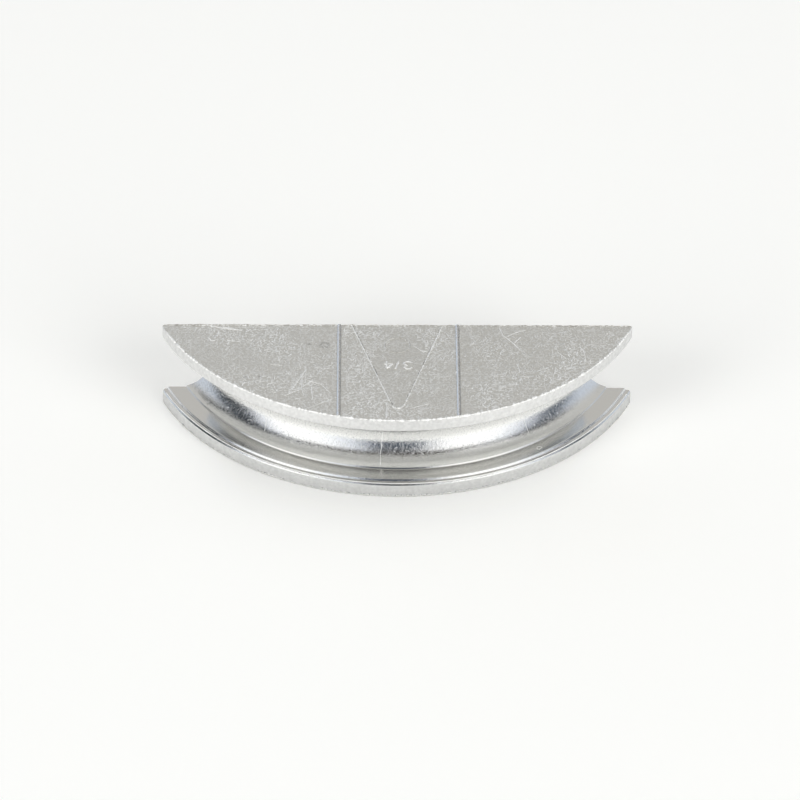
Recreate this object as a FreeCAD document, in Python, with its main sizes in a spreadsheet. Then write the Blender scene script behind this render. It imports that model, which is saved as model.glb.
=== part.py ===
import FreeCAD, Part
import math
import os

import Sketcher
from FreeCAD import Placement, Rotation, Vector

# Shoe of a hand tube bender: a half-moon aluminium casting with a flat back, a half-round tube
# groove run round its curved front, and a blind socket in the back for the nose of the push bar.
# Millimetres. The body is drawn with the bend axis on its own Z axis and the metal towards -Y.
# Its placement then sets the row frame: origin under the middle of the shoe, +Z up, back to +Y.

NODE = "bender_shoe"

SIZES = [
    ("bend_radius", 76.2, "bend axis to the tube's centre line, four tube diameters"),
    ("groove_radius", 9.6, "half-round that holds a 19.05 mm tube with a little room"),
    ("rim_overhang", 4.5, "how far the rims stand out past the tube's centre line"),
    ("back_offset", 28.5, "bend axis to the flat back"),
    ("shoe_thickness", 30.0, "face to face"),
    ("lip_inset", 2.7, "tube's centre line in to the lip where the half-round ends"),
    ("lip_bevel", 0.4, "radial width of the bevel from that lip down to the land"),
    ("ledge_width", 1.2, "ledge between the land and the rim"),
    ("ledge_drop", 0.6, "drop from the land to that ledge"),
    ("rim_round", 1.0, "round from the ledge into the rim"),
    ("cutter_run_out", 4.0, "how far a cut round the bend axis runs past the rim"),
    ("bead_spacing", 37.8, "between the middles of the two beads on the upper face"),
    ("bead_width", 1.5, "bead at its foot"),
    ("bead_height", 0.5, "bead above the upper face"),
    ("insert_reach", 45.5, "flat back to the tip of the V-shaped insert line"),
    ("insert_half_angle", 16.0, "each arm of the V from the middle plane, in degrees"),
    ("insert_tip_round", 2.0, "middle of the insert line round the tip of the V"),
    ("insert_line_width", 0.5, "width of the insert line"),
    ("insert_line_height", 0.25, "insert line above the upper face"),
    ("socket_diameter", 16.0, "blind socket in the back"),
    ("socket_depth", 22.0, "socket, from the back to its flat floor"),
    ("socket_lead_in", 0.8, "chamfer at the socket's mouth"),
]

# Lengths that follow from the sizes, written once and used wherever they are needed.
RIM = "(Sizes.bend_radius + Sizes.rim_overhang)"
BACK = "Sizes.back_offset"
FACE = "Sizes.shoe_thickness"
MIDDLE = "(Sizes.shoe_thickness / 2)"
LIP = "(Sizes.bend_radius - Sizes.lip_inset)"
LEDGE = f"({RIM} - Sizes.ledge_width)"
RUN_OUT = f"({RIM} + Sizes.cutter_run_out)"
BEAD_RADIUS = "((Sizes.bead_width^2 / 4 + Sizes.bead_height^2) / (2 * Sizes.bead_height))"
TIP_CENTRE = f"({BACK} + Sizes.insert_reach - Sizes.insert_tip_round)"

ORIGIN = (-1, 1)
UPRIGHT_AXIS = -2
START, END, CENTRE = 1, 2, 3
FULL_TURN = 360.0
FOUND_WITHIN = 1e-4

doc = FreeCAD.newDocument("tube_bender_shoe")

sheet = doc.addObject("Spreadsheet::Sheet", "Sizes")
for row, (alias, amount, note) in enumerate(SIZES, start=1):
    sheet.set(f"A{row}", alias)
    sheet.set(f"B{row}", str(amount))
    sheet.set(f"C{row}", note)
    sheet.setAlias(f"B{row}", alias)
doc.recompute()

body = doc.addObject("PartDesign::Body", "BenderShoe")
body.Label = NODE
planes = {plane.Role: plane for plane in body.Origin.OriginFeatures}


def value(expression):
    """What an expression in the sizes comes to, for a first guess or to find an edge."""
    return float(sheet.evalExpression(expression))


def new_sketch(name, plane, lift=None):
    """A sketch on an origin plane of the body, or lifted off it along its normal."""
    sketch = body.newObject("Sketcher::SketchObject", name)
    sketch.AttachmentSupport = [(planes[plane], "")]
    sketch.MapMode = "FlatFace"
    if lift:
        sketch.setExpression("AttachmentOffset.Base.z", lift)
    return sketch


def add_line(sketch, start, end, construction=False):
    """A straight piece of a sketch, from its first guess."""
    return sketch.addGeometry(Part.LineSegment(Vector(*start), Vector(*end)), construction)


def add_arc(sketch, centre, radius, first_angle, last_angle):
    """A round piece of a sketch, from its first guess."""
    circle = Part.Circle(Vector(*centre), Vector(0, 0, 1), radius)
    return sketch.addGeometry(Part.ArcOfCircle(circle, first_angle, last_angle), False)


def tie(sketch, kind, *where):
    """A relation without a size, such as Coincident or Tangent."""
    sketch.addConstraint(Sketcher.Constraint(kind, *where))


def dimension(sketch, name, kind, where, expression):
    """A named dimension, bound to the sizes. An angle is given in degrees."""
    guess = value(expression)
    if kind == "Angle":
        guess = math.radians(guess)
    index = sketch.addConstraint(Sketcher.Constraint(kind, *where, guess))
    sketch.renameConstraint(index, name)
    sketch.setExpression(f"Constraints.{name}", expression)


def sketched(kind, name, sketch, length=None):
    """A pad or pocket of that length, or a cut right round the bend axis."""
    made = body.newObject(kind, name)
    made.Profile = sketch
    if length:
        made.setExpression("Length", length)
    else:
        made.ReferenceAxis = (sketch, ["V_Axis"])
        made.Angle = FULL_TURN
    doc.recompute()
    return made


def dressed(kind, name, base, radius, wanted, amount, setting):
    """A fillet or chamfer on the round edges of that radius whose centre is wanted."""
    edges = [
        f"Edge{number}"
        for number, edge in enumerate(base.Shape.Edges, start=1)
        if isinstance(edge.Curve, Part.Circle)
        and abs(edge.Curve.Radius - value(radius)) < FOUND_WITHIN
        and wanted(edge.Curve.Center)
    ]
    made = body.newObject(kind, name)
    made.Base = (base, edges)
    made.setExpression(setting, amount)
    doc.recompute()
    return made


def check_change(before, after, sign):
    """A cut that points away from the metal changes nothing and says nothing, so it is tested."""
    if sign * (after.Shape.Volume - before.Shape.Volume) <= 0:
        raise RuntimeError(f"{after.Label} leaves the volume as it was")


# The blank: a segment of a disc, round to the front and straight across the back.
outline = new_sketch("Outline", "XY_Plane")
half_back = math.sqrt(value(RIM) ** 2 - value(BACK) ** 2)
corner_angle = math.atan2(value(BACK), half_back)
rim = add_arc(
    outline, (0, 0), value(RIM), math.pi + corner_angle, 2 * math.pi - corner_angle
)
back = add_line(outline, (half_back, -value(BACK)), (-half_back, -value(BACK)))
tie(outline, "Coincident", rim, CENTRE, *ORIGIN)
tie(outline, "Coincident", rim, END, back, START)
tie(outline, "Coincident", rim, START, back, END)
tie(outline, "Horizontal", back)
dimension(outline, "Rim", "Radius", (rim,), RIM)
dimension(outline, "Back", "DistanceY", (back, START, *ORIGIN), BACK)
blank = sketched("PartDesign::Pad", "Blank", outline, FACE)

# The tube groove: the half-round, its lip, the flat land outside the lip and the ledge at the foot
# of the rim. The upper side mirrors the lower one in the middle plane.
section = new_sketch("GrooveSection", "XZ_Plane")
lip_height = math.sqrt(value("Sizes.groove_radius^2 - Sizes.lip_inset^2"))
lip_angle = math.atan2(lip_height, -value("Sizes.lip_inset"))
half_gap = value("Sizes.groove_radius")
ledge_gap = half_gap + value("Sizes.ledge_drop")
corners = [
    (value(LIP), lip_height),
    (value(LIP) + value("Sizes.lip_bevel"), half_gap),
    (value(LEDGE), half_gap),
    (value(LEDGE), ledge_gap),
    (value(RUN_OUT), ledge_gap),
]
half_round = add_arc(
    section,
    (value("Sizes.bend_radius"), value(MIDDLE)),
    value("Sizes.groove_radius"),
    lip_angle,
    2 * math.pi - lip_angle,
)
flanks = {
    side: [
        add_line(section, (r, value(MIDDLE) + side * z), (r_next, value(MIDDLE) + side * z_next))
        for (r, z), (r_next, z_next) in zip(corners, corners[1:])
    ]
    for side in (-1, 1)
}
lower, upper = flanks[-1], flanks[1]
bevel, land, ledge_wall, ledge = lower
mouth = add_line(
    section,
    (value(RUN_OUT), value(MIDDLE) - ledge_gap),
    (value(RUN_OUT), value(MIDDLE) + ledge_gap),
)
middle_line = add_line(
    section,
    (value("Sizes.bend_radius"), value(MIDDLE)),
    (value(RUN_OUT), value(MIDDLE)),
    construction=True,
)
for flank in (lower, upper):
    for piece, following in zip(flank, flank[1:]):
        tie(section, "Coincident", piece, END, following, START)
tie(section, "Coincident", half_round, END, bevel, START)
tie(section, "Coincident", half_round, START, upper[0], START)
tie(section, "Coincident", ledge, END, mouth, START)
tie(section, "Coincident", upper[-1], END, mouth, END)
tie(section, "Coincident", half_round, CENTRE, middle_line, START)
tie(section, "PointOnObject", middle_line, END, mouth)
tie(section, "Horizontal", middle_line)
tie(section, "Horizontal", land)
tie(section, "Vertical", ledge_wall)
tie(section, "Horizontal", ledge)
tie(section, "Symmetric", half_round, START, half_round, END, middle_line)
for low, high in zip(lower, upper):
    tie(section, "Symmetric", low, END, high, END, middle_line)
for name, kind, where, expression in [
    ("BendRadius", "DistanceX", (*ORIGIN, half_round, CENTRE), "Sizes.bend_radius"),
    ("Middle", "DistanceY", (*ORIGIN, half_round, CENTRE), MIDDLE),
    ("HalfRound", "Radius", (half_round,), "Sizes.groove_radius"),
    ("Lip", "DistanceX", (*ORIGIN, half_round, END), LIP),
    ("Bevel", "DistanceX", (bevel, START, bevel, END), "Sizes.lip_bevel"),
    ("Land", "DistanceY", (land, START, half_round, CENTRE), "Sizes.groove_radius"),
    ("Ledge", "DistanceX", (*ORIGIN, land, END), LEDGE),
    ("LedgeDrop", "DistanceY", (ledge, START, land, END), "Sizes.ledge_drop"),
    ("RunOut", "DistanceX", (*ORIGIN, mouth, START), RUN_OUT),
]:
    dimension(section, name, kind, where, expression)
tube_groove = sketched("PartDesign::Groove", "TubeGroove", section)
check_change(blank, tube_groove, -1)

# Both rims are rounded where the ledge meets them, so that an edge can't mark the tube.
rims = dressed(
    "PartDesign::Fillet",
    "RimRounds",
    tube_groove,
    RIM,
    lambda centre: FOUND_WITHIN < centre.z < value(FACE) - FOUND_WITHIN,
    "Sizes.rim_round",
    "Radius",
)

# Two round-topped beads run straight over the upper face from the back to the rim. One is padded
# past the rim and mirrored, and a cut round the bend axis trims both flush with it.
bead = new_sketch("BeadSection", "XZ_Plane", BACK)
bead_middle = value("Sizes.bead_spacing / 2")
bead_half = value("Sizes.bead_width / 2")
bead_centre = value(f"{FACE} + Sizes.bead_height - {BEAD_RADIUS}")
bead_angle = math.atan2(value(FACE) - bead_centre, bead_half)
crown = add_arc(
    bead, (bead_middle, bead_centre), value(BEAD_RADIUS), bead_angle, math.pi - bead_angle
)
foot = add_line(
    bead,
    (bead_middle - bead_half, value(FACE)),
    (bead_middle + bead_half, value(FACE)),
)
tie(bead, "Coincident", crown, END, foot, START)
tie(bead, "Coincident", crown, START, foot, END)
tie(bead, "Horizontal", foot)
for name, kind, where, expression in [
    ("Spacing", "DistanceX", (*ORIGIN, crown, CENTRE), "Sizes.bead_spacing / 2"),
    ("Face", "DistanceY", (*ORIGIN, foot, START), FACE),
    ("Width", "DistanceX", (foot, START, foot, END), "Sizes.bead_width"),
    ("Crown", "Radius", (crown,), BEAD_RADIUS),
]:
    dimension(bead, name, kind, where, expression)
one_bead = sketched("PartDesign::Pad", "Bead", bead, f"{RUN_OUT} - {BACK}")
check_change(rims, one_bead, 1)

beads = body.newObject("PartDesign::Mirrored", "Beads")
beads.Originals = [one_bead]
beads.MirrorPlane = (planes["YZ_Plane"], [""])
body.Tip = beads
doc.recompute()
check_change(one_bead, beads, 1)

trim = new_sketch("BeadTrim", "XZ_Plane")
trim_top = value(f"{FACE} + 2 * Sizes.bead_height")
trim_far = value(f"{RUN_OUT} + Sizes.cutter_run_out")
trim_corners = [
    (value(RIM), value(FACE)),
    (trim_far, value(FACE)),
    (trim_far, trim_top),
    (value(RIM), trim_top),
]
under, outer_side, over, inner_side = (
    add_line(trim, start, end)
    for start, end in zip(trim_corners, trim_corners[1:] + trim_corners[:1])
)
for piece, following in [
    (under, outer_side),
    (outer_side, over),
    (over, inner_side),
    (inner_side, under),
]:
    tie(trim, "Coincident", piece, END, following, START)
for flat in (under, over):
    tie(trim, "Horizontal", flat)
for upright in (outer_side, inner_side):
    tie(trim, "Vertical", upright)
for name, kind, where, expression in [
    ("Rim", "DistanceX", (*ORIGIN, under, START), RIM),
    ("Face", "DistanceY", (*ORIGIN, under, START), FACE),
    ("Far", "DistanceX", (*ORIGIN, under, END), f"{RUN_OUT} + Sizes.cutter_run_out"),
    ("Top", "DistanceY", (*ORIGIN, over, START), f"{FACE} + 2 * Sizes.bead_height"),
]:
    dimension(trim, name, kind, where, expression)
bead_ends = sketched("PartDesign::Groove", "BeadEnds", trim)
check_change(beads, bead_ends, -1)

# The fine raised line that the mould's V-shaped insert leaves on the upper face: two arms from the
# back, joined by a round tip. It is drawn as its outer and its inner edge.
insert = new_sketch("InsertLine", "XY_Plane", FACE)
slope = math.radians(value("Sizes.insert_half_angle"))
edges_of_line = {}
for name, shift in (("Outer", "+"), ("Inner", "-")):
    radius_rule = f"Sizes.insert_tip_round {shift} Sizes.insert_line_width / 2"
    radius = value(radius_rule)
    touch_x = radius * math.cos(slope)
    touch_y = -value(TIP_CENTRE) - radius * math.sin(slope)
    back_x = touch_x + (-value(BACK) - touch_y) * math.tan(slope)
    left = add_line(insert, (-back_x, -value(BACK)), (-touch_x, touch_y))
    tip = add_arc(
        insert, (0, -value(TIP_CENTRE)), radius, math.pi + slope, 2 * math.pi - slope
    )
    right = add_line(insert, (touch_x, touch_y), (back_x, -value(BACK)))
    tie(insert, "Tangent", left, END, tip, START)
    tie(insert, "Tangent", tip, END, right, START)
    tie(insert, "Symmetric", left, START, right, END, UPRIGHT_AXIS)
    tie(insert, "PointOnObject", tip, CENTRE, UPRIGHT_AXIS)
    dimension(insert, f"{name}Tip", "Radius", (tip,), radius_rule)
    dimension(insert, f"{name}Centre", "DistanceY", (tip, CENTRE, *ORIGIN), TIP_CENTRE)
    dimension(insert, f"{name}Back", "DistanceY", (left, START, *ORIGIN), BACK)
    dimension(
        insert,
        f"{name}Arms",
        "Angle",
        (right, START, left, END),
        "2 * Sizes.insert_half_angle",
    )
    edges_of_line[name] = (left, right, back_x)
outer_left, outer_right, outer_x = edges_of_line["Outer"]
inner_left, inner_right, inner_x = edges_of_line["Inner"]
left_cap = add_line(insert, (-inner_x, -value(BACK)), (-outer_x, -value(BACK)))
right_cap = add_line(insert, (inner_x, -value(BACK)), (outer_x, -value(BACK)))
tie(insert, "Coincident", left_cap, START, inner_left, START)
tie(insert, "Coincident", left_cap, END, outer_left, START)
tie(insert, "Coincident", right_cap, START, inner_right, END)
tie(insert, "Coincident", right_cap, END, outer_right, END)
insert_line = sketched("PartDesign::Pad", "InsertRidge", insert, "Sizes.insert_line_height")
check_change(bead_ends, insert_line, 1)

# The blind socket in the middle of the back, with a short lead-in, takes the push bar's nose.
socket_circle = new_sketch("SocketCircle", "XZ_Plane", BACK)
bore = socket_circle.addGeometry(
    Part.Circle(Vector(0, value(MIDDLE)), Vector(0, 0, 1), value("Sizes.socket_diameter / 2")),
    False,
)
tie(socket_circle, "PointOnObject", bore, CENTRE, UPRIGHT_AXIS)
dimension(socket_circle, "Middle", "DistanceY", (*ORIGIN, bore, CENTRE), MIDDLE)
dimension(socket_circle, "Bore", "Diameter", (bore,), "Sizes.socket_diameter")
socket = sketched("PartDesign::Pocket", "Socket", socket_circle, "Sizes.socket_depth")
socket.Reversed = True
doc.recompute()
check_change(insert_line, socket, -1)
lead_in = dressed(
    "PartDesign::Chamfer",
    "SocketLeadIn",
    socket,
    "Sizes.socket_diameter / 2",
    lambda centre: abs(centre.y + value(BACK)) < FOUND_WITHIN,
    "Sizes.socket_lead_in",
    "Size",
)
check_change(socket, lead_in, -1)

# The row frame: the middle of the shoe, front to back, comes over the origin.
body.Placement = Placement(Vector(0, 0, 0), Rotation())
body.setExpression("Placement.Base.y", f"({RIM} + {BACK}) / 2")
doc.recompute()

for item in doc.Objects:
    if {"Invalid", "Error"} & set(item.State):
        raise RuntimeError(f"{item.Label} failed: {item.State}")
for item in doc.findObjects("Sketcher::SketchObject"):
    if not item.FullyConstrained:
        raise RuntimeError(f"{item.Label} is not fully constrained")
shape = body.Shape
if shape.isNull() or not shape.isValid() or len(shape.Solids) != 1:
    raise RuntimeError(f"{NODE} is not one valid solid")

os.makedirs("parts", exist_ok=True)
shape.exportStep(f"parts/{NODE}.step")
box = shape.optimalBoundingBox()
print(
    f"{NODE}: {box.XLength:.2f} x {box.YLength:.2f} x {box.ZLength:.2f} mm,"
    f" {shape.Volume / 1000:.2f} cm3"
)
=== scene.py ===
import math

import bmesh
import bpy
from mathutils import Matrix, Vector


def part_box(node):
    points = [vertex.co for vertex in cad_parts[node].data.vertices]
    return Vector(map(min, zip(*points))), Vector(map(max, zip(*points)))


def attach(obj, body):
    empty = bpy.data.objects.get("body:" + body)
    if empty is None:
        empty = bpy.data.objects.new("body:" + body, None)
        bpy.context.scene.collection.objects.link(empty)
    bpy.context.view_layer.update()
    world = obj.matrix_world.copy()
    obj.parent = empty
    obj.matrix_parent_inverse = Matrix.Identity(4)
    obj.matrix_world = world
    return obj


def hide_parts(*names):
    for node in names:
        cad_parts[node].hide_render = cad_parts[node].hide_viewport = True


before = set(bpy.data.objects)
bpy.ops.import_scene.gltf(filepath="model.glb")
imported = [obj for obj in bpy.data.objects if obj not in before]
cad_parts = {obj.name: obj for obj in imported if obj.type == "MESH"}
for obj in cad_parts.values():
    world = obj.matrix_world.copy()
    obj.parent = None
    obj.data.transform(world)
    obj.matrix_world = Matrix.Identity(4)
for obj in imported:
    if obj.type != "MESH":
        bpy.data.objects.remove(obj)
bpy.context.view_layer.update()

# ---------------------------------------------------------------------------------------------
# The shoe: one half-moon aluminium casting. Its section is drawn once as a wire and swept round
# the bend axis, so the rims, the land and the tube groove run true. The flat back closes it,
# with the blind socket for the push bar's nose.
# ---------------------------------------------------------------------------------------------
MM = 0.001
shoe_low, shoe_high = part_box("bender_shoe")
bead_height = 0.5
half_back = shoe_high.x / MM
back_y = shoe_high.y / MM
depth = back_y - shoe_low.y / MM
rim_radius = (half_back**2 + depth**2) / (2 * depth)
back_offset = rim_radius - depth
axis_y = back_y + back_offset
face_z = shoe_high.z / MM - bead_height
middle_z = face_z / 2

bend_radius = rim_radius - 4.5
groove_radius = 9.6
groove_z = middle_z + 0.25
lip_radius = bend_radius - 3.0
land_radius = lip_radius + 0.2
ledge_radius = rim_radius - 1.6
ledge_gap = groove_radius + 0.75
step_from, step_to = 0.45, 0.05
chamfer_run, chamfer_drop = 0.35, 0.45
chamfer_round = 0.15
rim_round = 0.55
edge_round = 0.3
lip_round = 0.2
step_round = 0.25

FACE, RIM, GROOVE, LAND, UNDERSIDE = range(5)


def linear(hex_colour):
    """An sRGB hex colour as linear RGBA."""
    parts = [int(hex_colour[i : i + 2], 16) / 255 for i in (1, 3, 5)]
    return (*(c / 12.92 if c <= 0.04045 else ((c + 0.055) / 1.055) ** 2.4 for c in parts), 1)


def add(tree, kind, feeds=None, **settings):
    """Adds a node with its settings, and its inputs from values, sockets or other nodes. A list
    feeds them in order. A kind all in capitals is the operation of a Math node."""
    if kind.isupper():
        kind, settings["operation"] = "ShaderNodeMath", kind
    node = tree.nodes.new(kind)
    for name, setting in settings.items():
        setattr(node, name, setting)
    if isinstance(feeds, list):
        feeds = dict(enumerate(feeds))
    for key, feed in (feeds or {}).items():
        if isinstance(feed, bpy.types.Node):
            feed = next(socket for socket in feed.outputs if socket.enabled)
        if isinstance(feed, bpy.types.NodeSocket):
            tree.links.new(feed, node.inputs[key])
        else:
            node.inputs[key].default_value = feed
    return node


def blank_material(name):
    """A new node material with its tree and its Principled shader."""
    material = bpy.data.materials.new(name)
    material.use_nodes = True
    tree = material.node_tree
    return material, tree, tree.nodes["Principled BSDF"]


def scratch_layer(tree, place, spacing, width, seed):
    """Short straight scratches, one to a cell, each at its own angle. Gives 1 on a scratch."""
    moved = add(tree, "ShaderNodeVectorMath", [place, (seed, seed * 0.7, seed * 1.3)])
    cells = add(
        tree,
        "ShaderNodeTexVoronoi",
        {"Vector": moved, "Scale": 1 / (spacing * MM), "Randomness": 1.0},
        voronoi_dimensions="2D",
    )
    offset = add(
        tree, "ShaderNodeVectorMath", [moved, cells.outputs["Position"]], operation="SUBTRACT"
    )
    from_middle = add(
        tree, "ShaderNodeVectorMath", {0: offset, "Scale": 1 / (spacing * MM)}, operation="SCALE"
    )
    chance = add(tree, "ShaderNodeSeparateColor", {"Color": cells.outputs["Color"]})
    turned = add(
        tree,
        "ShaderNodeVectorRotate",
        {
            "Vector": from_middle,
            "Angle": add(tree, "MULTIPLY", [chance.outputs["Red"], 2 * math.pi]),
        },
        rotation_type="Z_AXIS",
    )
    part = add(tree, "ShaderNodeSeparateXYZ", {"Vector": turned})
    bend = add(
        tree,
        "MULTIPLY",
        [add(tree, "POWER", [add(tree, "ABSOLUTE", [part.outputs["X"]]), 2.0]), 0.12],
    )
    off_line = add(tree, "ABSOLUTE", [add(tree, "SUBTRACT", [part.outputs["Y"], bend])])
    reach = add(tree, "MULTIPLY", [chance.outputs["Green"], 0.45])
    thin = add(
        tree,
        "ShaderNodeMapRange",
        [off_line, width / spacing, 0.3 * width / spacing, 0.0, 1.0],
        interpolation_type="SMOOTHSTEP",
    )
    near = add(tree, "LESS_THAN", [add(tree, "ABSOLUTE", [part.outputs["X"]]), reach])
    rare = add(tree, "POWER", [chance.outputs["Blue"], 3.0])
    strength = add(tree, "MULTIPLY", [near, add(tree, "MULTIPLY_ADD", [rare, 0.5, 0.5])])
    return add(tree, "MULTIPLY", [thin, strength])


def top_of(tree, layers):
    """The strongest of several masks."""
    strongest = layers[0]
    for layer in layers[1:]:
        strongest = add(tree, "MAXIMUM", [strongest, layer])
    return strongest


# Die-cast aluminium, tumbled and handled: a warm grey satin with a crowd of fine scratches. Where
# one runs, the torn metal scatters light like pale stone, so it is drawn matt and light. Real ones
# are under 0.1 mm wide. They are drawn at 0.22 mm and more, one to a cell of 1.1 to 12 mm, to show.
satin, tree, shader = blank_material("die_cast_aluminium_satin")
place = add(tree, "ShaderNodeTexCoord").outputs["Object"]
here = add(tree, "ShaderNodeSeparateXYZ", {"Vector": place})
on_top = add(tree, "GREATER_THAN", [here.outputs["Z"], (face_z - 0.02) * MM])

# The mould's insert left a V with a round tip. Inside it the face is a shade darker and less
# scratched, and a fine dark joint runs along its inner edge.
insert_slope = math.radians(16)
tip_round = 2.0
tip_y = back_y - 45.5 + tip_round
side_x = add(tree, "ABSOLUTE", [here.outputs["X"]])
rise = add(tree, "SUBTRACT", [here.outputs["Y"], tip_y * MM])
from_tip = add(
    tree,
    "SQRT",
    [
        add(
            tree,
            "ADD",
            [add(tree, "MULTIPLY", [side_x, side_x]), add(tree, "MULTIPLY", [rise, rise])],
        ),
    ],
)
from_arm = add(
    tree,
    "SUBTRACT",
    [
        add(tree, "MULTIPLY", [side_x, math.cos(insert_slope)]),
        add(tree, "MULTIPLY", [rise, math.sin(insert_slope)]),
    ],
)
along_arm = add(
    tree,
    "ADD",
    [
        add(tree, "MULTIPLY", [side_x, math.sin(insert_slope)]),
        add(tree, "MULTIPLY", [rise, math.cos(insert_slope)]),
    ],
)
beside_arm = add(tree, "GREATER_THAN", [along_arm, 0.0])
insert_gap = add(
    tree,
    "SUBTRACT",
    [add(tree, "ShaderNodeMix", {0: beside_arm, 2: from_tip, 3: from_arm}), tip_round * MM],
)
inside = add(tree, "MULTIPLY", [add(tree, "LESS_THAN", [insert_gap, 0.0]), on_top])
joint = add(
    tree,
    "ShaderNodeMapRange",
    [
        add(tree, "ABSOLUTE", [add(tree, "ADD", [insert_gap, 0.28 * MM])]),
        0.2 * MM,
        0.08 * MM,
        0.0,
        1.0,
    ],
)
patches = add(tree, "ShaderNodeTexNoise", {"Vector": place, "Scale": 350.0, "Detail": 1.0})
patches = add(tree, "ShaderNodeMapRange", [patches, 0.42, 0.56, 0.0, 1.0])
joint = add(tree, "MULTIPLY", [joint, add(tree, "MULTIPLY", [patches, on_top])])

scratches = top_of(
    tree,
    [
        add(tree, "MULTIPLY", [scratch_layer(tree, place, spacing, width, seed), boldness])
        for (spacing, width, boldness, seed) in [
            (1.1, 0.24, 1.3, 0.007),
            (1.5, 0.24, 1.3, 0.011),
            (2.0, 0.23, 1.3, 0.023),
            (2.6, 0.23, 1.2, 0.037),
            (3.3, 0.22, 1.1, 0.045),
            (4.2, 0.22, 0.95, 0.053),
            (5.2, 0.22, 0.8, 0.062),
            (6.6, 0.22, 0.8, 0.071),
            (8.5, 0.22, 0.8, 0.084),
            (12.0, 0.24, 0.9, 0.117),
        ]
    ],
)
cloud = add(tree, "ShaderNodeTexNoise", {"Vector": place, "Scale": 60.0, "Detail": 4.0})
grain = add(tree, "ShaderNodeTexNoise", {"Vector": place, "Scale": 1500.0, "Detail": 3.0})
worn = add(tree, "ShaderNodeMapRange", [cloud, 0.4, 0.62, 0.5, 1.2])
worn = add(tree, "SUBTRACT", [worn, add(tree, "MULTIPLY", [inside, 0.2])], use_clamp=True)
scratches = add(tree, "MULTIPLY", [scratches, worn])

# Dark stains of oil, at their places on the face.
stains = top_of(
    tree,
    [
        add(
            tree,
            "ShaderNodeMapRange",
            [
                add(
                    tree,
                    "ABSOLUTE",
                    [
                        add(
                            tree,
                            "SUBTRACT",
                            [
                                add(
                                    tree,
                                    "ShaderNodeVectorMath",
                                    [place, (x * MM, y * MM, face_z * MM)],
                                    operation="DISTANCE",
                                ).outputs["Value"],
                                ring * MM,
                            ],
                        ),
                    ],
                ),
                size * MM,
                0.2 * size * MM,
                0.0,
                1.0,
            ],
        )
        for (x, y, ring, size) in [
            (-23.2, 15.1, 1.2, 0.9),
            (-28.3, 15.6, 0.0, 1.2),
            (-48.4, -2.9, 0.0, 0.9),
            (-43.8, -2.4, 0.0, 1.0),
        ]
    ],
)
tone = add(tree, "ShaderNodeMapRange", [grain, 0.3, 0.7, 0.9, 1.05])
for mask, darker in [(inside, 0.02), (joint, 0.5), (stains, 0.22)]:
    tone = add(tree, "MULTIPLY", [tone, add(tree, "MULTIPLY_ADD", [mask, -darker, 1.0])])
toned = add(
    tree,
    "ShaderNodeVectorMath",
    {0: linear("#E4E2DB")[:3], "Scale": tone},
    operation="SCALE",
)
base = add(
    tree, "ShaderNodeMix", {0: scratches, 6: toned, 7: linear("#FBFBF8")}, data_type="RGBA"
)
tree.links.new(base.outputs[2], shader.inputs["Base Color"])
metal = add(tree, "ShaderNodeMapRange", [scratches, 0.0, 1.0, 1.0, 0.2])
tree.links.new(metal.outputs[0], shader.inputs["Metallic"])
rough = add(tree, "ShaderNodeMapRange", [scratches, 0.0, 1.0, 0.38, 0.6])
tree.links.new(rough.outputs[0], shader.inputs["Roughness"])
relief = add(tree, "MULTIPLY_ADD", [grain, 0.04, scratches])
bump = add(tree, "ShaderNodeBump", {"Height": relief, "Strength": 1.0, "Distance": 0.07 * MM})
tree.links.new(bump.outputs[0], shader.inputs["Normal"])

# The same casting where it was barely touched: the rim walls, the back and the socket, pale and
# matt, as cast. Its grain is really 0.2 mm or so, and is drawn at about 1 mm to show.
matt, tree, shader = blank_material("die_cast_aluminium_matt")
place = add(tree, "ShaderNodeTexCoord").outputs["Object"]
grain = add(tree, "ShaderNodeTexNoise", {"Vector": place, "Scale": 900.0, "Detail": 4.0})
tone = add(tree, "ShaderNodeMapRange", [grain.outputs[0], 0.3, 0.7, 0.9, 1.06])
wall_height = add(
    tree, "ShaderNodeSeparateXYZ", {"Vector": add(tree, "ShaderNodeTexCoord").outputs["Object"]}
).outputs["Z"]
# Painted shade: the walls and the back are painted darker towards the foot, for the shaded floor
# near the contact that they mirror. From 18 mm up to 24 mm they turn a little darker.
painted_foot_shade = add(tree, "ShaderNodeMapRange", [wall_height, 0.0, 7 * MM, 0.81, 1.0])
high = add(tree, "ShaderNodeMapRange", [wall_height, 18 * MM, 24 * MM, 1.0, 0.955])
tone = add(tree, "MULTIPLY", [add(tree, "MULTIPLY", [tone, painted_foot_shade]), high])
toned = add(
    tree, "ShaderNodeVectorMath", {0: linear("#EDEDEC")[:3], "Scale": tone}, operation="SCALE"
)
tree.links.new(toned.outputs[0], shader.inputs["Base Color"])
shader.inputs["Metallic"].default_value = 1.0
shader.inputs["Roughness"].default_value = 0.5
bump = add(tree, "ShaderNodeBump", {"Height": grain, "Strength": 0.1, "Distance": 0.05 * MM})
tree.links.new(bump.outputs[0], shader.inputs["Normal"])

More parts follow.
